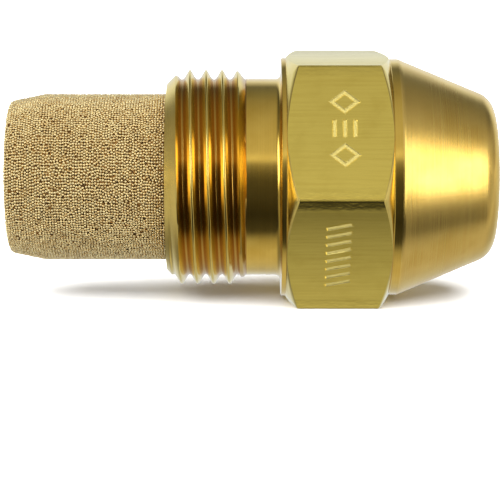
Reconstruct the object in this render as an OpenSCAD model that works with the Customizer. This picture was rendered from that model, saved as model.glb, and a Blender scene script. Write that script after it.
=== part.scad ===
// Oil burner nozzle: a brass body with a wrench hexagon, an orifice disc pressed into its nose,
// a swirl distributor behind the disc, a hollow lock screw that holds the distributor in place,
// and a sintered bronze filter thimble that slips onto the lock screw's spigot.
//
// Frame: the nozzle axis lies along X and sprays towards +X. The origin is on the axis, in the
// plane of the body's rear sealing face. One flat of the hexagon faces -Z, so the nozzle rests on it.
// Sizes are millimetres. A profile is a list of [radius, x] points, turned about the nozzle axis.

/* [Mounting thread] */
// Major diameter of the outer thread, 9/16 inch, 24 threads per inch
thread_d = 14.2; // [14.1:0.01:14.28]
// Pitch of the outer thread
thread_pitch = 1.0583; // [1:0.0001:1.1]
// Number of full crests
thread_crests = 4; // [3:1:4]
// Outer diameter of the rear sealing face, inside the lead-in chamfer
seat_d = 12.4; // [12:0.1:12.8]
// Diameter of the neck between the thread and the hexagon
neck_d = 13; // [12.6:0.1:13]

/* [Hexagon] */
// Width across the flats, 5/8 inch
hex_af = 15.875; // [15.8:0.005:15.9]
// Distance from the sealing face to the rear of the hexagon
hex_x = 7.81; // [7.6:0.01:8]
// Length of the hexagon
hex_length = 6.77; // [6.5:0.01:7]
// Thickness of the round collar behind the hexagon
collar_t = 0.31; // [0.2:0.01:0.4]

/* [Nose] */
// Diameter of the turned land in front of the hexagon
land_d = 15.62; // [15.2:0.02:15.7]
// Length of the turned land
land_length = 0.58; // [0.5:0.02:0.9]
// Distance from the sealing face to the front end
nose_x = 21.6; // [21.4:0.1:22]
// Angle of the nose cone from the axis
nose_angle = 22.45; // [21.5:0.05:23.5]
// Radius of the rounded front edge
nose_round = 1.6; // [1.4:0.1:1.8]
// Diameter of the spray recess at the front end
spray_mouth_d = 7.2; // [6.4:0.1:7.6]
// Diameter of the hole that shows the orifice disc
spray_hole_d = 4.4; // [4:0.1:4.8]

/* [Orifice and distributor] */
// Diameter of the bore that holds the orifice disc and the distributor
chamber_d = 6.3; // [6.2:0.05:6.4]
// Diameter of the spray orifice
orifice_d = 0.3; // [0.3:0.02:0.4]
// Diameter of the swirl chamber between the distributor's tip and the orifice
swirl_d = 1.6; // [1.5:0.1:1.7]
// Number of tangential swirl slots
swirl_slots = 4; // [3:1:6]
// Width of a swirl slot
slot_w = 0.4; // [0.3:0.05:0.5]

/* [Lock screw] */
// Major diameter of the lock screw's thread
lock_d = 9; // [8.8:0.1:9.2]
// Pitch of the lock screw's thread
lock_pitch = 1; // [0.9:0.05:1.1]
// Diameter of the lock screw's fuel passage
passage_d = 2.8; // [2:0.1:3]
// Diameter of the wider bore inside the spigot
spigot_bore_d = 5.2; // [4:0.1:5.6]
// Width of the screwdriver slot
drive_w = 1.2; // [1:0.1:1.4]

/* [Filter] */
// Outer diameter of the sintered filter
filter_d = 11; // [10.9:0.05:11.1]
// Diameter of its tapered rear end
filter_end_d = 10.2; // [10:0.1:10.6]
// How far the filter stands out behind the sealing face
filter_out = 10.4; // [9.5:0.1:11]
// Inner diameter of the thimble
filter_bore_d = 7.8; // [7.4:0.1:7.8]

/* [Hidden] */
facets = 96;
eps = 0.01;
overcut = 1;                             // how far a cutter reaches past a face
unified_depth = 0.54127;                 // depth of a unified or ISO thread, per pitch
crest_flat = 1 / 8;                      // width of a thread's crest, per pitch
fit_gap = 0.03;                          // clearance of the spigot and of the conical seat
thread_gap = 0.05;                       // clearance of the lock screw's thread in its bore
edge = 0.2;                              // small turned edge breaks

// outside of the body
thread_r = thread_d / 2;
seat_r = seat_d / 2;
neck_r = neck_d / 2;
lead_in = thread_r - seat_r;             // 45 degree chamfer at the thread's start
first_crest = lead_in + thread_pitch / 6;
neck_x = first_crest + (thread_crests - 1) * thread_pitch + thread_pitch * 0.93;
neck_fillet = 0.3;
collar_r = hex_af / 2 - 0.06;
hex_r = hex_af / sqrt(3);
hex_end_r = hex_af / 2 - 0.04;           // where the 30 degree chamfers meet the end faces
hex_front = hex_x + hex_length;
land_r = land_d / 2;
cone_x = hex_front + land_length;
round_x = nose_x - nose_round;           // centre of the rounded front edge
round_r = land_r - (round_x + nose_round * sin(nose_angle) - cone_x) * tan(nose_angle)
    - nose_round * cos(nose_angle);

// inside of the body
socket_gap = 0.15;                       // around the filter, where it enters the body
socket_depth = 4.6;
socket_r = filter_d / 2 + socket_gap;
lock_r = lock_d / 2;
lock_bore_r = lock_r + thread_gap;
chamber_x = 11.6;
chamber_r = chamber_d / 2;
spray_x = 18.4;                          // front face of the orifice disc
spray_land = 0.6;

// orifice disc and distributor: both cones are at 45 degrees
disc_t = 2.4;
disc_x = spray_x - disc_t;
orifice_length = 0.5;
swirl_r = swirl_d / 2;
tip_r = swirl_r - 0.05;
tip_x = disc_x + disc_t - 1;
seat_gap = fit_gap * sqrt(2);            // the seat's clearance, measured along a radius
head_r = 2.95;
head_length = 1.6;
head_x = tip_x - (head_r - tip_r) - head_length;
stem_r = 2.3;
stem_length = 1;
stem_x = head_x - stem_length;
groove_r = 0.55;                         // axial fuel grooves around the distributor's head
slot_depth = 0.35;

// lock screw and filter
shoulder_x = socket_depth - 0.2;         // the filter's mouth rests on this shoulder
lock_front = chamber_x - 0.4;
pilot_r = 2.7;
spigot_r = filter_bore_d / 2 - fit_gap;
spigot_x = -0.4;
spigot_bore_end = 3.6;
flange_r = lock_r - 0.1;                 // short flange that the filter's mouth rests on
flange_t = 0.4;
drive_depth = 1.2;
outlet_w = 1.2;                          // slot across the pilot that lets fuel out sideways
outlet_depth = 1;
filter_end_t = 1.5;
filter_taper = 2.3;
filter_corner = 0.4;

// An arc of profile points about [r, x], from one angle to another, 90 pointing to +X.
function arc(r, x, radius, from, to, steps = 8) =
    [for (i = [0:steps]) let (a = from + (to - from) * i / steps)
        [r + radius * cos(a), x + radius * sin(a)]];

// The crests of a thread as ring profiles. The first crest's middle is at x.
function crests(x, count, major_r, pitch) =
    let (root_r = major_r - unified_depth * pitch,
         flat = crest_flat * pitch / 2,
         foot = flat + unified_depth * pitch * tan(30))
    [for (i = [0:count - 1], side = [-1, 1])
        let (middle = x + i * pitch)
        each side < 0
            ? [[root_r, middle - foot], [major_r, middle - flat]]
            : [[major_r, middle + flat], [root_r, middle + foot]]];

module along_x() {
    rotate([0, 90, 0]) children();
}

module turned(profile) {
    along_x() rotate_extrude($fn = facets) polygon(profile);
}

// A cylinder along the nozzle axis, between two planes.
module rod(radius, from, to) {
    translate([from, 0, 0]) along_x() cylinder(r = radius, h = to - from, $fn = facets);
}

// Copies of a cutter, evenly spaced around the nozzle axis.
module around(count, start = 0) {
    for (i = [0:count - 1]) rotate([start + i * 360 / count, 0, 0]) children();
}

// Thread, neck, collar, land and nose, as one turned shape.
module body_outside() {
    root_r = thread_r - unified_depth * thread_pitch;
    turned(concat(
        [[0, 0], [seat_r, 0], [root_r, root_r - seat_r]],
        crests(first_crest, thread_crests, thread_r, thread_pitch),
        [[neck_r, neck_x]],
        arc(neck_r + neck_fillet, hex_x - collar_t - neck_fillet, neck_fillet, 180, 90, 4),
        [[collar_r - edge / 2, hex_x - collar_t], [collar_r, hex_x - collar_t + edge / 2],
         [collar_r, hex_x + eps], [land_r, hex_x + eps], [land_r, cone_x]],
        arc(round_r, round_x, nose_round, nose_angle, 90, 10),
        [[0, nose_x]]
    ));
}

// The wrench hexagon, its corners turned off at 30 degrees at both ends.
module hexagon() {
    chamfer = (hex_r + overcut - hex_end_r) * tan(30);
    intersection() {
        translate([hex_x, 0, 0]) along_x() rotate([0, 0, 30])
            cylinder(r = hex_r, h = hex_length, $fn = 6);
        turned([
            [0, hex_x - eps], [hex_end_r, hex_x - eps], [hex_r + overcut, hex_x + chamfer],
            [hex_r + overcut, hex_front - chamfer], [hex_end_r, hex_front + eps],
            [0, hex_front + eps]
        ]);
    }
}

// Everything that is bored out of the body: filter socket, lock screw bore, chamber, spray recess.
module body_bores() {
    mouth_r = spray_mouth_d / 2;
    hole_r = spray_hole_d / 2;
    flare_x = spray_x + spray_land;
    slope = (mouth_r - hole_r) / (nose_x - flare_x);
    turned([
        [0, -overcut], [socket_r, -overcut], [socket_r, socket_depth],
        [lock_bore_r, socket_depth], [lock_bore_r, chamber_x],
        [chamber_r, chamber_x], [chamber_r, spray_x],
        [hole_r, spray_x], [hole_r, flare_x],
        [mouth_r + slope * overcut, nose_x + overcut], [0, nose_x + overcut]
    ]);
}

module nozzle_body() {
    color("goldenrod")
    difference() {
        union() {
            body_outside();
            hexagon();
        }
        body_bores();
    }
}

// A steel disc with a conical seat, a swirl chamber and the spray orifice.
module orifice_disc() {
    seat_mouth_r = tip_r + tip_x - disc_x + seat_gap;
    color("silver")
    turned([
        [seat_mouth_r, disc_x], [chamber_r, disc_x], [chamber_r, spray_x],
        [orifice_d / 2, spray_x], [orifice_d / 2, spray_x - orifice_length],
        [swirl_r, spray_x - orifice_length],
        [swirl_r, disc_x + seat_mouth_r - swirl_r]
    ]);
}

// A cone with tangential slots, which makes the fuel spin before it leaves the orifice.
module distributor() {
    cone_start = head_x + head_length;
    color("lightsteelblue")
    difference() {
        turned([
            [0, stem_x], [stem_r, stem_x], [stem_r, head_x],
            [head_r - edge, head_x], [head_r, head_x + edge],
            [head_r, cone_start], [tip_r, tip_x], [0, tip_x]
        ]);
        around(swirl_slots)
            translate([cone_start, tip_r - slot_w, head_r - tip_r])
            rotate([0, 45, 0])
            translate([-overcut, 0, -slot_depth])
            cube([head_r * 2, slot_w, overcut]);
        around(swirl_slots, 45)
            translate([head_x - overcut, head_r, 0]) along_x()
            cylinder(r = groove_r, h = head_length + overcut - edge, $fn = 32);
    }
}

// A hollow screw: spigot and screwdriver slot behind, thread, and a pilot that presses the
// distributor into its seat.
module lock_screw() {
    thread_x = shoulder_x + flange_t;
    turns = floor((lock_front - thread_x) / lock_pitch);
    root_r = lock_r - unified_depth * lock_pitch;
    color("darkgoldenrod")
    difference() {
        turned(concat(
            [[0, spigot_x], [spigot_r - edge, spigot_x], [spigot_r, spigot_x + edge],
             [spigot_r, shoulder_x], [flange_r, shoulder_x], [flange_r, thread_x],
             [root_r, thread_x]],
            crests((lock_front + thread_x - (turns - 1) * lock_pitch) / 2, turns,
                   lock_r, lock_pitch),
            [[root_r, lock_front], [pilot_r, lock_front], [pilot_r, stem_x], [0, stem_x]]
        ));
        rod(passage_d / 2, spigot_x - overcut, stem_x + overcut);
        rod(spigot_bore_d / 2, spigot_x - overcut, spigot_bore_end);
        translate([spigot_x - overcut, -lock_r, -drive_w / 2])
            cube([overcut + drive_depth, lock_d, drive_w]);
        translate([stem_x - outlet_depth, -lock_r, -outlet_w / 2])
            cube([outlet_depth + overcut, lock_d, outlet_w]);
    }
}

// A thimble of sintered bronze balls, closed and slightly tapered at its rear end.
module filter() {
    outer_r = filter_d / 2;
    end_r = filter_end_d / 2;
    bore_r = filter_bore_d / 2;
    color("tan")
    turned(concat(
        [[0, -filter_out]],
        arc(end_r - filter_corner, filter_corner - filter_out, filter_corner, -90, -10, 5),
        [[outer_r, filter_taper - filter_out], [outer_r, shoulder_x - edge],
         [outer_r - edge, shoulder_x], [bore_r, shoulder_x],
         [bore_r, filter_end_t - filter_out + edge],
         [bore_r - edge, filter_end_t - filter_out], [0, filter_end_t - filter_out]]
    ));
}

nozzle_body();
orifice_disc();
distributor();
lock_screw();
filter();
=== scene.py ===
"""The looks of an oil burner nozzle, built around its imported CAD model.

Sizes are millimetres, and every finished mesh is scaled to metres. The nozzle axis lies along X and
sprays towards +X. The origin is on the axis, in the plane of the body's rear sealing face.
"""

import math

import bmesh
import bpy
import numpy as np
from mathutils import Euler, Matrix, Vector
from mathutils.kdtree import KDTree


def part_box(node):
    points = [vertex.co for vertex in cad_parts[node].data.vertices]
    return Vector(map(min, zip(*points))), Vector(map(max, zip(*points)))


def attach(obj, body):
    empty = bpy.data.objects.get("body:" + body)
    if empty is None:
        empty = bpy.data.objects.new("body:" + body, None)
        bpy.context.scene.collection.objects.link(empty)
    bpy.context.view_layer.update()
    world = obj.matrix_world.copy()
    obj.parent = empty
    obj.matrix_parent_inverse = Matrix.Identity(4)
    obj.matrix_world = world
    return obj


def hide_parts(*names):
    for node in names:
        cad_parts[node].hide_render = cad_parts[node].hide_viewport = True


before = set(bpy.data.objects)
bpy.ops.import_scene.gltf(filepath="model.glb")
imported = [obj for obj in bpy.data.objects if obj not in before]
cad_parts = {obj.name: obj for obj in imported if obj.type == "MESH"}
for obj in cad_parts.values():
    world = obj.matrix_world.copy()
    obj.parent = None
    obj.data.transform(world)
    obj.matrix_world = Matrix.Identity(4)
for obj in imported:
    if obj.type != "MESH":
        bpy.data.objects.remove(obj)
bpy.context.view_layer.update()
scene = bpy.context.scene

MM = 0.001


def span(node):
    """The lowest and highest corner of a CAD node, in millimetres."""
    low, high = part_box(node)
    return low / MM, high / MM


# ---------------------------------------------------------------- sizes, in millimetres

body_low, body_high = span("nozzle_body")
disc_high = span("orifice_disc")[1]
screw_low, screw_high = span("lock_screw")
filter_low, filter_high = span("filter")

HEX_FLAT = body_high.z                      # distance from the axis to a flat
HEX_CORNER = body_high.y                    # distance from the axis to a corner
HEX_REAR, HEX_FRONT = 7.81, 14.58
HEX_END = HEX_FLAT - 0.04                   # radius where the 30 degree chamfers start
CORNER_ROUND = 0.26
SECTOR = math.radians(60)
COLLAR_X, COLLAR_R = 7.5, HEX_FLAT - 0.06
NECK_X, NECK_R, NECK_FILLET = 5.2, 6.5, 0.4
SEAT_R = 6.2
THREAD_R, THREAD_PITCH = 7.1, 25.4 / 24
THREAD_START = 0.2                          # where its first crest is on the +Y side
LAND_R, CONE_X = 7.81, 15.16
NOSE_X, NOSE_ROUND = body_high.x, 1.6
CONE_ANGLE = math.radians(22.45)
SPRAY_MOUTH, SPRAY_HOLE, SPRAY_LAND = 3.6, 2.2, 0.6
CHAMBER_X, CHAMBER_R = 11.6, disc_high.y
SOCKET_DEPTH, SOCKET_R = 4.6, filter_high.y + 0.15
LOCK_R, LOCK_PITCH, LOCK_GAP = screw_high.y, 1.0, 0.05
LOCK_START = 0.5                            # where its thread has a crest on the +Y side
SHOULDER_X, LOCK_FRONT = filter_high.x, 11.2
THREAD_REAR, FLANGE_R = SHOULDER_X + 0.4, LOCK_R - 0.1
PILOT_R, PASSAGE_R = 2.7, 1.4
SPIGOT_R, SPIGOT_BORE, SPIGOT_BORE_END = 3.87, 2.6, 3.6
DRIVE_W, DRIVE_DEPTH, OUTLET_DEPTH = 1.2, 1.2, 1.0
# parts of a thread's profile, per pitch, and the depth that they lead to
CREST, EDGE_ROUND, ROOT_ROUND = 0.03, 0.09, 0.20
THREAD_DEPTH = (0.5 - (CREST + EDGE_ROUND + ROOT_ROUND) / 2) / math.tan(math.radians(30))
FILTER_R, FILTER_END_R, FILTER_BORE = filter_high.y, 5.1, 3.9
FILTER_TAPER, FILTER_WALL, FILTER_CORNER = 2.3, 1.5, 0.4
BEAD = 0.20                                 # spacing of the sintered balls
BEAD_SCATTER, BEAD_SINK, BEAD_MISSING = 0.22, 0.08, 0.004   # two parts of the spacing, and a share
PACKING_ROUNDS, PACKING_PUSH, NEIGHBOURS = 8, 0.4, 6
STROKE_W, STROKE_DEPTH = 0.28, 0.06
SHARP = 35.0                                # edges with more degrees than this are not smoothed

# ---------------------------------------------------------------- camera, light and floor

EYE_ELEVATION = math.radians(11.6)
EYE_DISTANCE = 139.8
AIM_X, AIM_DROP = 5.47, 4.864               # the picture's middle, along X and below the axis
LENS = 151.5


def make_camera():
    """A long lens in front of the nozzle and a little above it."""
    ahead = Vector((0, math.cos(EYE_ELEVATION), -math.sin(EYE_ELEVATION)))
    up = Vector((0, math.sin(EYE_ELEVATION), math.cos(EYE_ELEVATION)))
    data = bpy.data.cameras.new("camera")
    data.lens = LENS
    data.clip_start = 0.005
    data.clip_end = 10
    camera = bpy.data.objects.new("camera", data)
    camera.location = (Vector((AIM_X, 0, 0)) - AIM_DROP * up - EYE_DISTANCE * ahead) * MM
    camera.rotation_euler = (math.pi / 2 - EYE_ELEVATION, 0, 0)
    scene.collection.objects.link(camera)
    scene.camera = camera


class Nodes:
    """Short forms for building a node tree."""

    def __init__(self, tree):
        self.tree = tree
        tree.nodes.clear()

    def add(self, kind, inputs=(), **settings):
        node = self.tree.nodes.new(kind)
        for name, value in settings.items():
            setattr(node, name, value)
        for name, value in dict(inputs).items():
            self.put(node.inputs[name], value)
        return node

    def put(self, socket, value):
        if isinstance(value, bpy.types.NodeSocket):
            self.tree.links.new(value, socket)
        else:
            socket.default_value = value

    def math(self, operation, *values, clamp=False):
        node = self.add("ShaderNodeMath", operation=operation, use_clamp=clamp)
        for socket, value in zip(node.inputs, values):
            self.put(socket, value)
        return node.outputs[0]

    def ramp(self, value, low, high, to_low=0.0, to_high=1.0):
        """A smooth step of value, from to_low at low to to_high at high."""
        node = self.add("ShaderNodeMapRange", interpolation_type="SMOOTHSTEP")
        for name, x in (("Value", value), ("From Min", low), ("From Max", high),
                        ("To Min", to_low), ("To Max", to_high)):
            self.put(node.inputs[name], x)
        return node.outputs["Result"]

    def mix(self, factor, a, b, blend="MIX"):
        node = self.add("ShaderNodeMix", data_type="RGBA", blend_type=blend)
        self.put(node.inputs["Factor"], factor)
        self.put(node.inputs["A"], a)
        self.put(node.inputs["B"], b)
        return node.outputs["Result"]

    def noise(self, vector, scale, detail=2.0, roughness=0.5):
        node = self.add("ShaderNodeTexNoise",
                        {"Vector": vector, "Scale": scale, "Detail": detail, "Roughness": roughness})
        return node.outputs["Fac"]

    def scaled(self, vector, scale):
        return self.add("ShaderNodeMapping", {"Vector": vector, "Scale": scale}).outputs["Vector"]


WINGS = 0.42                                # the least brightness far to either side
# the two bright boxes: strength, which side (+1 is +X), the angles to the side at which each grows to full
# and falls off again, how far it leans outwards with height, and the heights of its soft ends
BOXES = ((3.3, 1, (32, 40, 51, 59), 0.25, (-0.48, 0.11, 0.30, 0.89)),
         (4.1, -1, (40, 50, 68, 78), 0.0, (-0.14, 0.12, 0.46, 0.76)))
# where the studio is darker: by how much, and where each coordinate of the view makes it start and end
SHADES = ((0.15, {"sideways": (0.15, 0.5), "z": (0.35, 0.65)}),
          (0.5, {"x": (-0.2, -0.6), "steep": (0.35, 0.65)}),
          (0.28, {"sideways": (0.45, 0.75), "y": (-0.1, 0.3)}),
          (0.12, {"sideways": (0.15, 0.5), "z": (-0.35, -0.65)}))
# brightness by height, in degrees: 0 is level in front of the nozzle, 90 is straight up, 180 is level
# behind it, and the table is below 0
STUDIO = ((-180, 1.0), (-130, 0.62), (-88, 0.60), (-70, 0.42), (-58, 0.06), (-35, 0.03), (5, 0.08),
          (14, 0.14), (24, 0.30), (30, 0.95), (38, 0.62), (75, 0.47), (118, 0.24), (140, 0.16), (158, 1.0))


def make_world():
    """A light tent: a white sweep behind, a mild ceiling, a bright box on each side, a dark front."""
    world = bpy.data.worlds.new("studio")
    scene.world = world
    world.use_nodes = True
    n = Nodes(world.node_tree)
    way = n.add("ShaderNodeTexCoord").outputs["Generated"]
    x, y, z = n.add("ShaderNodeSeparateXYZ", {"Vector": way}).outputs
    front = n.math("MULTIPLY", y, -1.0)
    turn = n.math("DIVIDE", n.math("ARCTAN2", z, front), 2 * math.pi)
    tent = n.add("ShaderNodeValToRGB", {"Fac": n.math("ADD", turn, 0.5)})
    ramp = tent.color_ramp
    while len(ramp.elements) < len(STUDIO):
        ramp.elements.new(0.5)
    for stop, (height, level) in zip(ramp.elements, STUDIO):
        stop.position = height / 360 + 0.5
        stop.color = (level, level, level, 1)
    side = n.math("ARCTAN2", x, front)
    sideways = n.math("ABSOLUTE", x)
    wings = n.ramp(sideways, 0.58, 0.86, 0.0, WINGS)
    level = n.math("MAXIMUM", tent.outputs["Color"], wings)
    coordinates = {"x": x, "y": y, "z": z, "sideways": sideways, "steep": n.math("ABSOLUTE", z)}
    for shade, ranges in SHADES:
        for name, (start, end) in ranges.items():
            shade = n.math("MULTIPLY", n.ramp(coordinates[name], start, end), shade)
        level = n.math("MULTIPLY", level, n.math("SUBTRACT", 1.0, shade))
    for strength, sign, angles, lean, heights in BOXES:
        way_to = n.math("SUBTRACT", n.math("MULTIPLY", side, float(sign)), n.math("MULTIPLY", z, lean))
        near, full, fall, far = (math.radians(angle) for angle in angles)
        wide = n.math("MULTIPLY", n.ramp(way_to, near, full), n.ramp(way_to, far, fall))
        tall = n.math("MULTIPLY", n.ramp(z, heights[0], heights[1]), n.ramp(z, heights[3], heights[2]))
        level = n.math("MAXIMUM", level, n.math("MULTIPLY", n.math("MULTIPLY", wide, tall), strength))
    cool = n.mix(n.ramp(y, 0.2, 0.8), (1, 1, 1, 1), (0.88, 0.97, 1.08, 1))
    back = n.add("ShaderNodeBackground", {"Color": cool, "Strength": level})
    out = n.add("ShaderNodeOutputWorld")
    n.tree.links.new(back.outputs[0], out.inputs["Surface"])


def floor_light(strength, spread):
    """A wide sun over the floor alone: the brass does not mirror it."""
    data = bpy.data.lights.new("floor_sun", "SUN")
    data.energy = strength
    data.angle = math.radians(spread)
    lamp = bpy.data.objects.new("floor_sun", data)
    lamp.rotation_euler = (math.radians(12), math.radians(-8), 0)
    lamp.visible_glossy = False
    scene.collection.objects.link(lamp)


def make_floor():
    """A plain pale floor under the flat of the hexagon."""
    mesh = bpy.data.meshes.new("floor")
    half = 3.0
    mesh.from_pydata([(-half, -half, 0), (half, -half, 0), (half, half, 0), (-half, half, 0)],
                     [], [(0, 1, 2, 3)])
    floor = bpy.data.objects.new("floor", mesh)
    floor.location = (0, 0, (body_low.z - 0.01) * MM)
    scene.collection.objects.link(floor)
    material = bpy.data.materials.new("pale_floor")
    material.use_nodes = True
    n = Nodes(material.node_tree)
    shader = n.add("ShaderNodeBsdfPrincipled",
                   {"Base Color": (0.93, 0.93, 0.93, 1), "Roughness": 0.9, "Specular IOR Level": 0.1})
    out = n.add("ShaderNodeOutputMaterial")
    n.tree.links.new(shader.outputs[0], out.inputs["Surface"])
    mesh.materials.append(material)
    floor.visible_glossy = False


# ---------------------------------------------------------------- materials


def new_material(name):
    material = bpy.data.materials.new(name)
    material.use_nodes = True
    n = Nodes(material.node_tree)
    place = n.add("ShaderNodeTexCoord").outputs["Object"]
    return material, n, n.scaled(place, (1 / MM, 1 / MM, 1 / MM))


def tinted(colour, factors=(1, 1, 1)):
    """A colour times a factor for each channel, with its alpha."""
    return tuple(min(1, c * f) for c, f in zip(colour, factors)) + (1,)


def finish_material(n, inputs):
    shader = n.add("ShaderNodeBsdfPrincipled", inputs)
    out = n.add("ShaderNodeOutputMaterial")
    n.tree.links.new(shader.outputs[0], out.inputs["Surface"])


def around_axis(n, place):
    """The distance from the nozzle axis and the angle about it."""
    x, y, z = n.add("ShaderNodeSeparateXYZ", {"Vector": place}).outputs
    radius = n.math("SQRT", n.math("ADD", n.math("MULTIPLY", y, y), n.math("MULTIPLY", z, z)))
    return x, radius, n.math("ARCTAN2", z, y)


def turning_lines(n, place, per_mm, wander):
    """Fine rings left by the lathe tool: noise that varies fast along the profile, slowly around it."""
    x, radius, _ = around_axis(n, place)
    along = n.math("ADD", x, radius)
    y, z = n.add("ShaderNodeSeparateXYZ", {"Vector": place}).outputs[1:]
    vector = n.add("ShaderNodeCombineXYZ", {
        "X": n.math("MULTIPLY", along, per_mm),
        "Y": n.math("MULTIPLY", y, wander),
        "Z": n.math("MULTIPLY", z, wander)}).outputs[0]
    return n.noise(vector, 1.0, 3.0, 0.6)


def turned_brass(name, colour, roughness, per_mm=22.0, wander=0.06, depth=0.10, spread=0.06, root=None):
    """Brass with lathe rings and faint tarnish, and painted shade that darkens it below the radius called
    root.
    """
    material, n, place = new_material(name)
    rings = turning_lines(n, place, per_mm, wander)
    cloud = n.noise(place, 0.35, 3.0, 0.55)
    tint = n.mix(n.ramp(cloud, 0.35, 0.75), tinted(colour), tinted(colour, (0.86, 0.80, 0.62)))
    tint = n.mix(n.ramp(rings, 0.35, 0.65, 0.0, 0.35), tint, tinted(colour, (1.12, 1.12, 1.12)))
    if root:
        # painted shade in the thread's grooves: darker below the radius root, away from the lead-in chamfer
        x, radius, _ = around_axis(n, place)
        painted_root_shade = n.ramp(radius, root, root - 0.35)
        behind_chamfer = n.ramp(x, 0.6, 0.9)
        tint = n.mix(n.math("MULTIPLY", painted_root_shade, behind_chamfer), tint, tinted(colour, (0.66, 0.50, 0.36)))
    rough = n.math("ADD", roughness, n.math("MULTIPLY", n.math("SUBTRACT", rings, 0.5), spread * 2))
    rough = n.math("ADD", rough, n.math("MULTIPLY", n.math("SUBTRACT", cloud, 0.5), spread))
    bump = n.add("ShaderNodeBump", {"Strength": depth, "Distance": 0.02 * MM, "Height": rings})
    finish_material(n, {"Base Color": tint, "Metallic": 1.0, "Roughness": rough,
                        "Normal": bump.outputs[0]})
    return material


def milled_brass(name, colour, roughness):
    """Brass drawn as hexagonal bar: streaks along the nozzle axis, slight stains, worn corners."""
    material, n, place = new_material(name)
    streak = n.noise(n.scaled(place, (0.22, 5.5, 5.5)), 1.0, 4.0, 0.62)
    fine = n.noise(n.scaled(place, (1.2, 26.0, 26.0)), 1.0, 2.0, 0.5)
    stain = n.noise(place, 0.55, 4.0, 0.6)
    dark = tinted(colour, (0.80, 0.76, 0.60))
    tint = n.mix(n.ramp(streak, 0.38, 0.72, 0.0, 0.35), tinted(colour), dark)
    tint = n.mix(n.ramp(stain, 0.45, 0.85, 0.0, 0.5), tint, dark)
    rough = n.math("ADD", roughness, n.math("MULTIPLY", n.math("SUBTRACT", streak, 0.5), 0.10))

    # heights in millimetres: streaks, a flat's slight crown, the worn side of each corner, and its dents
    streak_height, fine_height, crown, wear, dent = 0.0014, 0.0003, 0.009, 0.058, 0.03
    height = n.math("ADD", n.math("MULTIPLY", streak, streak_height), n.math("MULTIPLY", fine, fine_height))
    _, radius, turn = around_axis(n, place)
    height = n.math("SUBTRACT", height, n.math("MULTIPLY", n.math("MULTIPLY", radius, radius), crown))
    leading = n.math("LESS_THAN", n.math("FRACT", n.math("DIVIDE", turn, SECTOR)), 0.5)
    worn = n.ramp(radius, HEX_CORNER - 0.4, HEX_CORNER, 0.0, wear)
    height = n.math("SUBTRACT", height, n.math("MULTIPLY", worn, leading))
    corner = n.ramp(radius, HEX_CORNER - 0.45, HEX_CORNER - 0.2)
    dents = n.noise(n.scaled(place, (1.2, 2.0, 2.0)), 1.8, 2.0, 0.55)
    height = n.math("ADD", height, n.math("MULTIPLY", n.math("MULTIPLY", dents, corner), dent))

    # the rounded corner's other side is rougher
    edge = n.math("MULTIPLY", n.ramp(radius, HEX_CORNER - 0.08, HEX_CORNER - 0.062),
                  n.math("SUBTRACT", 1.0, leading))
    rough = n.math("ADD", rough, n.math("MULTIPLY", edge, 0.3))
    bump = n.add("ShaderNodeBump", {"Strength": 1.0, "Distance": MM, "Height": height})
    finish_material(n, {"Base Color": tint, "Metallic": 1.0, "Roughness": rough,
                        "Normal": bump.outputs[0]})
    return material


def stamped_painted_highlight(name, colour):
    """The bottom of a stamped stroke, painted paler than the flat as a painted highlight, with a fine
    random grain.
    """
    material, n, place = new_material(name)
    grain = n.noise(place, 9.0, 2.0, 0.5)
    tint = n.mix(n.ramp(grain, 0.5, 0.8), tinted(colour), tinted(colour, (0.7, 0.7, 0.7)))
    finish_material(n, {"Base Color": tint, "Metallic": 0.9, "Roughness": 0.2})
    return material


def steel(name, colour, roughness, per_mm):
    """Stainless steel with lathe rings."""
    material, n, place = new_material(name)
    rings = turning_lines(n, place, per_mm, 0.1)
    tint = n.mix(rings, tinted(colour), tinted(colour, (0.82, 0.82, 0.82)))
    rough = n.math("ADD", roughness, n.math("MULTIPLY", n.math("SUBTRACT", rings, 0.5), 0.12))
    bump = n.add("ShaderNodeBump", {"Strength": 0.1, "Distance": 0.02 * MM, "Height": rings})
    finish_material(n, {"Base Color": tint, "Metallic": 1.0, "Roughness": rough,
                        "Normal": bump.outputs[0]})
    return material


def bead_bronze(name, colour, roughness):
    """Sintered balls: each ball has its own tint, over slow stains."""
    material, n, place = new_material(name)
    own = n.add("ShaderNodeNewGeometry").outputs["Random Per Island"]
    stain = n.noise(place, 0.6, 3.0, 0.6)
    brown = tinted(colour, (0.72, 0.62, 0.45))
    pale = tinted(colour, (1.10, 1.08, 1.05))
    tint = n.mix(n.ramp(own, 0.0, 0.5, 0.3, 1.0), brown, pale)
    tint = n.mix(n.ramp(stain, 0.4, 0.8, 0.0, 0.25), tint, brown)
    rough = n.math("ADD", roughness, n.math("MULTIPLY", own, 0.12))
    finish_material(n, {"Base Color": tint, "Metallic": 0.91, "Roughness": rough})
    return material


def pore_painted_shade(name, colour):
    """Painted shade: a dark colour for the depth between the balls, darker still towards the edges of cells
    the size of a ball, also on the inside of the thimble.
    """
    material, n, place = new_material(name)
    cells = n.add("ShaderNodeTexVoronoi", {"Vector": place, "Scale": 1 / BEAD})
    # painted shade between the balls: darker towards the edges of the ball-sized cells
    grain = n.ramp(cells.outputs["Distance"], 0.15, 0.75)
    tint = n.mix(grain, tinted(colour), tinted(colour, (0.25, 0.25, 0.25)))
    bump = n.add("ShaderNodeBump", {"Strength": 0.8, "Distance": 0.06 * MM, "Height": grain},
                 invert=True)
    finish_material(n, {"Base Color": tint, "Metallic": 0.6, "Roughness": 0.5,
                        "Normal": bump.outputs[0]})
    return material


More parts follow.
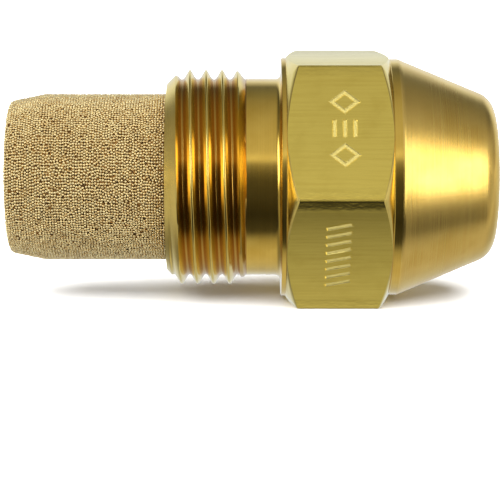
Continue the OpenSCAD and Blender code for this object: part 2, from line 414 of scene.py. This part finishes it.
POLISHED = turned_brass("polished_turned_brass", (0.87, 0.58, 0.11), 0.16, depth=0.2, spread=0.12)
FACED = turned_brass("faced_brass", (0.90, 0.68, 0.18), 0.17, depth=0.2, spread=0.12)
SATIN = turned_brass("satin_turned_brass", (0.98, 0.655, 0.165), 0.25, per_mm=30.0, depth=0.22)
# the threaded brass has painted shade in its grooves, below root
THREADED = turned_brass("threaded_brass", (0.90, 0.66, 0.175), 0.19, root=THREAD_R - 0.22)
MILLED = milled_brass("milled_brass", (0.88, 0.68, 0.14), 0.24)
BORED = turned_brass("bored_brass", (0.72, 0.50, 0.15), 0.34, per_mm=12.0, depth=0.3)
SCREW = turned_brass("screw_brass_turned", (0.80, 0.57, 0.17), 0.22, per_mm=16.0, depth=0.2)
# the strokes' paler colour is a painted highlight
PAINTED_MARK_HIGHLIGHT = stamped_painted_highlight("stamped_painted_highlight", (0.95, 0.78, 0.24))
DISC_STEEL = steel("lapped_steel", (0.66, 0.66, 0.65), 0.22, 18.0)
HEAD_STEEL = steel("turned_steel", (0.58, 0.58, 0.59), 0.3, 14.0)
BEADS = bead_bronze("sintered_balls", (0.95, 0.76, 0.41), 0.14)
# a dark colour that stands in for the shade between the balls
PORE_SHADE = pore_painted_shade("bronze_pores_painted_shade", (0.34, 0.17, 0.035))

# ---------------------------------------------------------------- lathe grids


def ring_angles():
    """Angles about the axis: even steps, with extra ones where a corner of the hexagon is rounded."""
    per_sector = 36
    near = math.atan(CORNER_ROUND * math.tan(math.radians(30)) / HEX_CORNER)
    angles = []
    for corner in range(6):
        start = corner * SECTOR
        angles += [start + k * near for k in (0, 0.3, 0.6, 0.9, 1.2)]
        angles += [start + i * SECTOR / per_sector for i in range(1, per_sector)]
        angles += [start + SECTOR - k * near for k in (1.2, 0.9, 0.6, 0.3)]
    return np.array(sorted(angles))


ANGLES = ring_angles()


def hexagon_radius(angle):
    """Distance from the axis to the hexagon's outline, whose corners are slightly rounded."""
    off = (angle + SECTOR / 2) % SECTOR - SECTOR / 2       # from the nearest corner, which is at 0
    flat = HEX_FLAT / np.cos(SECTOR / 2 - np.abs(off))
    middle = HEX_CORNER - CORNER_ROUND / math.cos(SECTOR / 2)
    inner = middle * np.cos(off) + np.sqrt(
        np.maximum(CORNER_ROUND ** 2 - (middle * np.sin(off)) ** 2, 0))
    reach = math.atan(CORNER_ROUND * math.sin(SECTOR / 2)
                      / (middle + CORNER_ROUND * math.cos(SECTOR / 2)))
    return np.where(np.abs(off) <= reach, inner, flat)


def thread_radius(x, angle, major, pitch, first):
    """A right-handed thread's radius, with a crest at x = first where the angle is 0.

    The crest is flat with slightly rounded edges, the flanks are straight and the root is round.
    """
    off = np.abs((x - first - pitch * angle / (2 * math.pi) + pitch / 2) % pitch - pitch / 2) / pitch
    off = off - CREST / 2
    root = 0.5 - CREST / 2
    flank = off - EDGE_ROUND / 2
    edge = off ** 2 / (2 * EDGE_ROUND)
    valley = root - (EDGE_ROUND + ROOT_ROUND) / 2 - (root - off) ** 2 / (2 * ROOT_ROUND)
    depth = np.where(off < EDGE_ROUND, edge, np.where(off < root - ROOT_ROUND, flank, valley))
    return major - np.where(off < 0, 0, depth) * pitch / math.tan(math.radians(30))


def thread_rows(low, high, pitch, first, root_steps, radius_at):
    """Rows that follow a thread's helix from x = low to x = high, whatever the angle.

    A row has its own x at every angle, and radius_at(x, angle) gives the radius there.
    """
    half_turn = [0, CREST / 2, CREST / 2 + EDGE_ROUND / 2, CREST / 2 + EDGE_ROUND]
    half_turn += [0.5 - ROOT_ROUND * k / root_steps for k in range(root_steps, -1, -1)]
    marks = half_turn + [1 - mark for mark in reversed(half_turn[1:-1])]
    turns = range(math.floor((low - first) / pitch) - 2, math.ceil((high - first) / pitch) + 2)
    rows = []
    for turn in turns:
        for mark in marks:
            x = np.clip(first + (turn + mark) * pitch + pitch * ANGLES / (2 * math.pi), low, high)
            rows.append((x, radius_at(x, ANGLES)))
    return rows, len(marks)


def plain_rows(points):
    """Rows with the same x and radius all the way round, from [radius, x] points."""
    return [(np.full(len(ANGLES), float(x)), np.full(len(ANGLES), float(r))) for r, x in points]


def arc(radius_centre, x_centre, radius, start, end, steps):
    """Profile points on an arc, where an angle of 90 degrees points along +X."""
    turn = [math.radians(start + (end - start) * i / steps) for i in range(steps + 1)]
    return [(radius_centre + radius * math.cos(a), x_centre + radius * math.sin(a)) for a in turn]


def lathe(sections):
    """One mesh from sections of rows: [(rows, how many rows one turn of its helix is, material number)].

    Every section ends where the next one starts. At the seam, a helical row meets the row one turn on.
    """
    columns = len(ANGLES)
    bm = bmesh.new()
    for rows, shift, slot in sections:
        grid = []
        for x, radius in rows:
            grid.append([bm.verts.new((x[j], radius[j] * math.cos(ANGLES[j]),
                                       radius[j] * math.sin(ANGLES[j]))) for j in range(columns)])
        for i in range(len(rows) - 1):
            for j in range(columns):
                on = shift if j == columns - 1 else 0
                if i + 1 + on >= len(rows):
                    continue
                k = (j + 1) % columns
                face = bm.faces.new((grid[i][j], grid[i + 1][j], grid[i + 1 + on][k], grid[i + on][k]))
                face.material_index = slot
    bmesh.ops.remove_doubles(bm, verts=bm.verts, dist=1e-5)
    bmesh.ops.dissolve_degenerate(bm, edges=bm.edges, dist=1e-6)
    bmesh.ops.recalc_face_normals(bm, faces=bm.faces)
    return bm


def finish_mesh(bm, name, materials):
    """Turns a millimetre bmesh into an object in metres, smooth but for edges sharper than an angle."""
    mesh = bpy.data.meshes.new(name)
    bm.to_mesh(mesh)
    bm.free()
    mesh.transform(Matrix.Scale(MM, 4))
    for material in materials:
        mesh.materials.append(material)
    mesh.polygons.foreach_set("use_smooth", [True] * len(mesh.polygons))
    mesh.set_sharp_from_angle(angle=math.radians(SHARP))
    piece = bpy.data.objects.new(name, mesh)
    scene.collection.objects.link(piece)
    return piece


# ---------------------------------------------------------------- the body


def lower_of(a, b, blend):
    """The lower of two radii, with the corner between them rounded."""
    share = np.clip(0.5 + 0.5 * (b - a) / blend, 0, 1)
    return b * (1 - share) + a * share - blend * share * (1 - share)


def outer_thread(x, angle):
    """The mounting thread between its lead-in chamfer and its run-out into the neck."""
    lead_in = SEAT_R + x
    run_out = NECK_R + np.maximum(NECK_X - x, 0)
    thread = thread_radius(x, angle, THREAD_R, THREAD_PITCH, THREAD_START)
    thread = lower_of(thread, run_out, 0.12)
    return np.where(x >= NECK_X, NECK_R, np.minimum(lower_of(thread, lead_in, 0.04), lead_in))


def inner_thread(x, angle):
    """The body's thread for the lock screw, with a chamfer at its mouth and a relief at its end."""
    thread = thread_radius(x, angle, LOCK_R, LOCK_PITCH, LOCK_START) + LOCK_GAP
    mouth = LOCK_R + 0.35 - (x - SOCKET_DEPTH)
    relief = np.where(x > LOCK_FRONT - 0.2, LOCK_R + LOCK_GAP, 0)
    return np.maximum(thread, np.maximum(mouth, relief))


def hexagon_rows():
    """The hexagon from the collar to the land. Rows follow the curved edges of the chamfers."""
    outline = hexagon_radius(ANGLES)
    slope = math.tan(math.radians(30))
    cut = (outline - HEX_END) * slope                       # how far the chamfers reach along the axis
    soft = np.minimum(0.05, cut * 0.4)                      # half width of the softened edge
    chamfer = [(ahead, HEX_END + ahead / slope) for ahead in ((cut - soft) * k for k in (0, 0.5, 1))]
    rows = [(HEX_REAR + ahead, radius) for ahead, radius in chamfer]
    rear, front = HEX_REAR + cut + soft, HEX_FRONT - cut - soft
    rows += [(rear + (front - rear) * k, outline) for k in (0, 0.06, 0.25, 0.5, 0.75, 0.94, 1)]
    rows += [(HEX_FRONT - ahead, radius) for ahead, radius in reversed(chamfer)]
    return rows


def build_body():
    """The brass body, as one closed surface: outside from the rear to the nose, then back inside."""
    polished, satin, milled, bored, threaded, faced = range(6)
    thread, turn = thread_rows(0, NECK_X + 0.05, THREAD_PITCH, THREAD_START, 4, outer_thread)
    neck = [(NECK_R, NECK_X + 0.05), (NECK_R, NECK_X + 0.08), (NECK_R, 6.2),
            (NECK_R, COLLAR_X - NECK_FILLET)]
    neck += arc(NECK_R + NECK_FILLET, COLLAR_X - NECK_FILLET, NECK_FILLET, 180, 90, 6)
    neck += [(7.2, COLLAR_X), (COLLAR_R - 0.08, COLLAR_X), (COLLAR_R - 0.02, COLLAR_X + 0.02),
             (COLLAR_R, COLLAR_X + 0.08), (COLLAR_R, HEX_REAR - 0.02), (HEX_END, HEX_REAR)]
    round_x = NOSE_X - NOSE_ROUND
    slope = math.tan(CONE_ANGLE)
    round_r = (LAND_R - (round_x + NOSE_ROUND * math.sin(CONE_ANGLE) - CONE_X) * slope
               - NOSE_ROUND * math.cos(CONE_ANGLE))
    land = [(HEX_END, HEX_FRONT), (LAND_R + 0.04, HEX_FRONT), (LAND_R, HEX_FRONT + 0.05),
            (LAND_R, HEX_FRONT + 0.36), (LAND_R, CONE_X - 0.12), (LAND_R, CONE_X - 0.05)]
    nose = [(LAND_R, CONE_X - 0.05), (LAND_R - 0.01, CONE_X + 0.05)]
    nose += [(LAND_R - slope * step, CONE_X + step) for step in (0.2, 1, 2, 3, 4, 4.8)]
    nose += arc(round_r, round_x, NOSE_ROUND, math.degrees(CONE_ANGLE), 90, 14)
    flare_x = disc_high.x + SPRAY_LAND
    recess = [(round_r, NOSE_X), (SPRAY_MOUTH + 0.12, NOSE_X), (SPRAY_MOUTH + 0.03, NOSE_X - 0.03),
              (SPRAY_MOUTH, NOSE_X - 0.12), (SPRAY_HOLE + 0.04, flare_x), (SPRAY_HOLE, flare_x - 0.08),
              (SPRAY_HOLE, disc_high.x), (CHAMBER_R + 0.01, disc_high.x),
              (CHAMBER_R + 0.01, CHAMBER_X), (LOCK_R + LOCK_GAP, CHAMBER_X)]
    inner, inner_turn = thread_rows(SOCKET_DEPTH, CHAMBER_X, LOCK_PITCH, LOCK_START, 3, inner_thread)
    socket = [(LOCK_R + 0.35, SOCKET_DEPTH), (SOCKET_R, SOCKET_DEPTH), (SOCKET_R, 2.3),
              (SOCKET_R, 0.08), (SOCKET_R + 0.03, 0.02), (SOCKET_R + 0.1, 0), (SEAT_R, 0)]
    bm = lathe([
        (thread, turn, threaded), (plain_rows(neck), 0, polished), (hexagon_rows(), 0, milled),
        (plain_rows(land), 0, polished), (plain_rows(nose), 0, satin), (plain_rows(recess), 0, bored),
        (inner, inner_turn, bored), (plain_rows(socket), 0, bored)])
    mark_chamfers(bm, faced)
    return finish_mesh(bm, "nozzle_body_turned", [POLISHED, SATIN, MILLED, BORED, THREADED, FACED])


def mark_chamfers(bm, slot):
    """Faces of the hexagon that lean towards an end are turned, not milled."""
    bm.normal_update()
    for face in bm.faces:
        middle = face.calc_center_median()
        on_hexagon = HEX_REAR < middle.x < HEX_FRONT and middle.yz.length > HEX_FLAT - 0.2
        if on_hexagon and abs(face.normal.x) > 0.25:
            face.material_index = slot


# ---------------------------------------------------------------- cutting


def cut_out(piece, cutters, material):
    """Takes the cutters' volume out of a piece. The cut faces get the material."""
    mesh = bpy.data.meshes.new("cutter")
    cutters.to_mesh(mesh)
    cutters.free()
    mesh.transform(Matrix.Scale(MM, 4))
    mesh.materials.append(material)
    tool = bpy.data.objects.new("cutter", mesh)
    scene.collection.objects.link(tool)
    cut = piece.modifiers.new("cut", "BOOLEAN")
    cut.object = tool
    cut.operation = "DIFFERENCE"
    cut.solver = "EXACT"
    cut.material_mode = "TRANSFER"
    view = bpy.context.evaluated_depsgraph_get()
    result = bpy.data.meshes.new_from_object(piece.evaluated_get(view))
    piece.modifiers.remove(cut)
    old, piece.data = piece.data, result
    result.name = old.name
    bpy.data.meshes.remove(old)
    bpy.data.objects.remove(tool)
    bpy.data.meshes.remove(mesh)
    result.polygons.foreach_set("use_smooth", [True] * len(result.polygons))
    result.set_sharp_from_angle(angle=math.radians(SHARP))


def add_block(bm, low, high):
    """A box between two corners."""
    place = [(a + b) / 2 for a, b in zip(low, high)]
    size = Matrix.Diagonal([b - a for a, b in zip(low, high)] + [1])
    bmesh.ops.create_cube(bm, size=1, matrix=Matrix.Translation(place) @ size)


def add_stroke(bm, points, flat_angle, closed=False):
    """A flat-bottomed groove with sloping walls, along points on a flat, each (x, up the flat).

    flat_angle is the angle about the axis of the flat's middle.
    """
    out = Vector((0, math.cos(flat_angle), math.sin(flat_angle)))
    up = Vector((0, -math.sin(flat_angle), math.cos(flat_angle)))
    if up.z < 0:
        up = -up
    path = [Vector((x, 0, 0)) + up * v + out * HEX_FLAT for x, v in points]
    count = len(path)
    depth, foot = STROKE_DEPTH, 0.5 - STROKE_DEPTH / STROKE_W
    section = ((-0.5, depth), (0.5, depth), (0.5, 0), (foot, -depth), (-foot, -depth), (-0.5, 0))
    rings = []
    for i, here in enumerate(path):
        before = path[(i - 1) % count] if closed or i else here
        after = path[(i + 1) % count] if closed or i < count - 1 else here
        ahead = (after - before).normalized()
        way = (here - before).normalized() if here != before else (after - here).normalized()
        across = ahead.cross(out).normalized() / max(0.5, abs(ahead.dot(way)))
        end = 0 if closed or 0 < i < count - 1 else (-1 if i == 0 else 1)
        rings.append([bm.verts.new(here + across * side * STROKE_W + out * height
                                   + ahead * (end * depth if height > -depth else 0))
                      for side, height in section])
    pairs = len(rings) if closed else len(rings) - 1
    faces = []
    for i in range(pairs):
        a, b = rings[i], rings[(i + 1) % len(rings)]
        for s in range(len(section)):
            t = (s + 1) % len(section)
            faces.append(bm.faces.new((a[s], a[t], b[t], b[s])))
    if not closed:
        faces += [bm.faces.new(rings[0]), bm.faces.new(rings[-1])]
    bmesh.ops.recalc_face_normals(bm, faces=faces)


def engrave_marks(piece):
    """Plain stamped marks on two flats: two diamonds with bars between them, and slanted strokes."""
    upper, lower = math.radians(150), math.radians(210)
    bm = bmesh.new()
    middle, long, tall, apart = 11.45, 0.8, 0.65, 0.65
    for rise in (2.1, -1.5):
        add_stroke(bm, [(middle + long, rise), (middle, rise + tall), (middle - long, rise),
                        (middle, rise - tall)], upper, closed=True)
    for x in (middle - apart, middle, middle + apart):
        add_stroke(bm, [(x, -0.25), (x, 0.85)], upper)
    middle, long, slant, top, spacing = 11.1, 0.75, 0.18, 2.45, 0.68
    for k in range(8):
        rise = top - spacing * k
        add_stroke(bm, [(middle - long, rise - slant), (middle + long, rise + slant)], lower)
    cut_out(piece, bm, PAINTED_MARK_HIGHLIGHT)
    even_flats(piece)


def even_flats(piece):
    """Makes the borders of the hexagon's flats sharp, so that the flats are shaded evenly."""
    tilt = 0.003                            # radians by which a flat's faces may differ

    def on_flat(face):
        turn = math.atan2(face.normal.z, face.normal.y) % SECTOR
        return (abs(face.normal.x) < tilt and abs(turn - SECTOR / 2) < tilt
                and face.calc_center_median().yz.length > (HEX_FLAT - 0.01) * MM)

    bm = bmesh.new()
    bm.from_mesh(piece.data)
    for edge in bm.edges:
        if len(edge.link_faces) == 2 and on_flat(edge.link_faces[0]) != on_flat(edge.link_faces[1]):
            edge.smooth = False
    bm.to_mesh(piece.data)
    bm.free()


# ---------------------------------------------------------------- the lock screw


def screw_thread(x, angle):
    """The lock screw's thread, chamfered at both ends."""
    root = LOCK_R - THREAD_DEPTH * LOCK_PITCH
    ends = np.minimum(root + (x - THREAD_REAR), root + (LOCK_FRONT - x))
    return np.minimum(thread_radius(x, angle, LOCK_R, LOCK_PITCH, LOCK_START), ends)


def build_screw():
    """The hollow brass screw with its spigot, screwdriver slot and pilot."""
    front = screw_high.x
    root = LOCK_R - THREAD_DEPTH * LOCK_PITCH
    rear_x = screw_low.x
    thread, turn = thread_rows(THREAD_REAR, LOCK_FRONT, LOCK_PITCH, LOCK_START, 3, screw_thread)
    rear = [(PASSAGE_R, SPIGOT_BORE_END), (SPIGOT_BORE, SPIGOT_BORE_END), (SPIGOT_BORE, rear_x + 0.1),
            (SPIGOT_BORE + 0.1, rear_x), (SPIGOT_R - 0.2, rear_x), (SPIGOT_R - 0.05, rear_x + 0.06),
            (SPIGOT_R, rear_x + 0.2), (SPIGOT_R, 1.5), (SPIGOT_R, 3.0), (SPIGOT_R, SHOULDER_X),
            (FLANGE_R - 0.04, SHOULDER_X), (FLANGE_R, SHOULDER_X + 0.04), (FLANGE_R, THREAD_REAR),
            (root, THREAD_REAR)]
    pilot = [(root, LOCK_FRONT), (PILOT_R, LOCK_FRONT), (PILOT_R, front - 0.1), (PILOT_R - 0.1, front),
             (PASSAGE_R + 0.1, front), (PASSAGE_R, front - 0.1), (PASSAGE_R, 8),
             (PASSAGE_R, SPIGOT_BORE_END)]
    bm = lathe([(plain_rows(rear), 0, 0), (thread, turn, 0), (plain_rows(pilot), 0, 0)])
    piece = finish_mesh(bm, "lock_screw_turned", [SCREW])
    slots = bmesh.new()
    add_block(slots, (rear_x - 1, -LOCK_R, -DRIVE_W / 2), (rear_x + DRIVE_DEPTH, LOCK_R, DRIVE_W / 2))
    add_block(slots, (front - OUTLET_DEPTH, -LOCK_R, -DRIVE_W / 2), (front + 1, LOCK_R, DRIVE_W / 2))
    cut_out(piece, slots, SCREW)
    return piece


# ---------------------------------------------------------------- the filter


def filter_profile(inset):
    """The thimble's outside from the middle of its closed end to its mouth, as [radius, x] points."""
    corner_r = FILTER_END_R - FILTER_CORNER
    corner_x = filter_low.x + FILTER_CORNER
    points = [(0.0, filter_low.x + inset)]
    points += arc(corner_r, corner_x, FILTER_CORNER - inset, -90, -8, 6)
    points += [(FILTER_R - inset, filter_low.x + FILTER_TAPER), (FILTER_R - inset, filter_high.x - 0.15),
               (FILTER_R - 0.15, filter_high.x - inset), (FILTER_BORE + 0.1, filter_high.x - inset)]
    return points


def build_filter_core():
    """The thimble behind the balls: outside, mouth, bore and the bottom of the bore."""
    floor_x = filter_low.x + FILTER_WALL
    inside = [(FILTER_BORE, filter_high.x - 0.1), (FILTER_BORE, floor_x + 0.3),
              (FILTER_BORE - 0.3, floor_x), (0.0, floor_x)]
    outside = filter_profile(BEAD * 0.75)
    bm = lathe([(plain_rows(outside + inside), 0, 0)])
    # the thimble carries the painted shade seen between the balls
    return finish_mesh(bm, "filter_thimble_wall", [PORE_SHADE])


def on_profile(profile, reach, way, angle):
    """Places, outward normals and directions along the profile, for points on the thimble's outside."""
    radius, x = (np.interp(way, reach, column) for column in profile.T)
    step = 0.02
    ahead = [np.interp(way + step, reach, column) for column in profile.T]
    behind = [np.interp(way - step, reach, column) for column in profile.T]
    size = np.hypot(ahead[0] - behind[0], ahead[1] - behind[1])
    dr, dx = (ahead[0] - behind[0]) / size, (ahead[1] - behind[1]) / size
    y, z = np.cos(angle), np.sin(angle)
    place = np.stack([x, radius * y, radius * z], 1)
    normal = np.stack([-dr, dx * y, dx * z], 1)
    along = np.stack([dx, dr * y, dr * z], 1)
    around = np.stack([np.zeros_like(y), -z, y], 1)
    return place, normal, along, around, radius


def bead_places():
    """Where the balls sit on the thimble's outside: scattered, then pushed apart to an even packing."""
    random = np.random.default_rng(7)
    profile = np.array(filter_profile(BEAD * 0.35))
    reach = np.concatenate([[0], np.cumsum(np.hypot(*np.diff(profile, axis=0).T))])
    way, angle = [], []
    row = BEAD * 0.866
    for ring in range(int(reach[-1] / row)):
        middle = (ring + 0.5) * row
        count = max(1, round(2 * math.pi * np.interp(middle, reach, profile[:, 0]) / BEAD))
        way.append(middle + random.normal(0, BEAD_SCATTER * BEAD, count))
        turns = np.arange(count) + random.normal(0, BEAD_SCATTER, count)
        angle.append(2 * math.pi * turns / count + ring * 0.37)
    way = np.clip(np.concatenate(way), 0, reach[-1])
    angle = np.concatenate(angle)
    for _ in range(PACKING_ROUNDS):
        place, _, along, around, radius = on_profile(profile, reach, way, angle)
        tree = KDTree(len(place))
        for number, point in enumerate(place):
            tree.insert(point, number)
        tree.balance()
        near = np.array([[hit[1] for hit in tree.find_n(point, NEIGHBOURS + 1)][1:] for point in place])
        apart = place[:, None] - place[near]
        gap = np.linalg.norm(apart, axis=2, keepdims=True)
        push = (apart / np.maximum(gap, 1e-6) * np.maximum(BEAD - gap, 0) * PACKING_PUSH).sum(1)
        way = np.clip(way + (push * along).sum(1), 0, reach[-1])
        angle = angle + (push * around).sum(1) / np.maximum(radius, BEAD)
    place, normal = on_profile(profile, reach, way, angle)[:2]
    sink = np.abs(random.normal(0, BEAD_SINK * BEAD, len(place)))
    keep = random.uniform(0, 1, len(place)) > BEAD_MISSING
    return (place - normal * sink[:, None])[keep], random


def build_beads():
    """The sintered balls, each a closed icosahedron that smooth shading rounds off, in two lengths."""
    places, random = bead_places()
    places = places[np.argsort(places[:, 0])]
    ball = bmesh.new()
    bmesh.ops.create_icosphere(ball, subdivisions=1, radius=1)
    corners = np.array([vert.co[:] for vert in ball.verts])
    faces = np.array([[vert.index for vert in face.verts] for face in ball.faces])
    ball.free()
    pieces = []
    for name, part in zip(("filter_balls_rear", "filter_balls_front"), np.array_split(places, 2)):
        count = len(part)
        turns = np.array([Euler(turn).to_matrix() for turn in random.uniform(0, 2 * math.pi, (count, 3))])
        size = BEAD * random.uniform(0.47, 0.52, count)
        points = part[:, None] + np.einsum("nij,kj->nki", turns, corners) * size[:, None, None]
        numbers = faces[None] + (np.arange(count) * len(corners))[:, None, None]
        mesh = bpy.data.meshes.new(name)
        mesh.from_pydata((points * MM).reshape(-1, 3), [], numbers.reshape(-1, 3).tolist())
        mesh.materials.append(BEADS)
        mesh.polygons.foreach_set("use_smooth", [True] * len(mesh.polygons))
        piece = bpy.data.objects.new(name, mesh)
        scene.collection.objects.link(piece)
        pieces.append(piece)
    return pieces


make_camera()
make_world()
make_floor()
floor_light(11.0, 100)

body = build_body()
engrave_marks(body)
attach(body, "housing")
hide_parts("nozzle_body")

screw = build_screw()
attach(screw, "screw")
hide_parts("lock_screw")

wall = build_filter_core()
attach(wall, "filter_thimble")
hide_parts("filter")

for balls in build_beads():
    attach(balls, "filter_thimble")
    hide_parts("filter")

for node, material in (("orifice_disc", DISC_STEEL), ("distributor", HEAD_STEEL)):
    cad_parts[node].data.materials.clear()
    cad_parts[node].data.materials.append(material)

scene.view_settings.view_transform = "Standard"
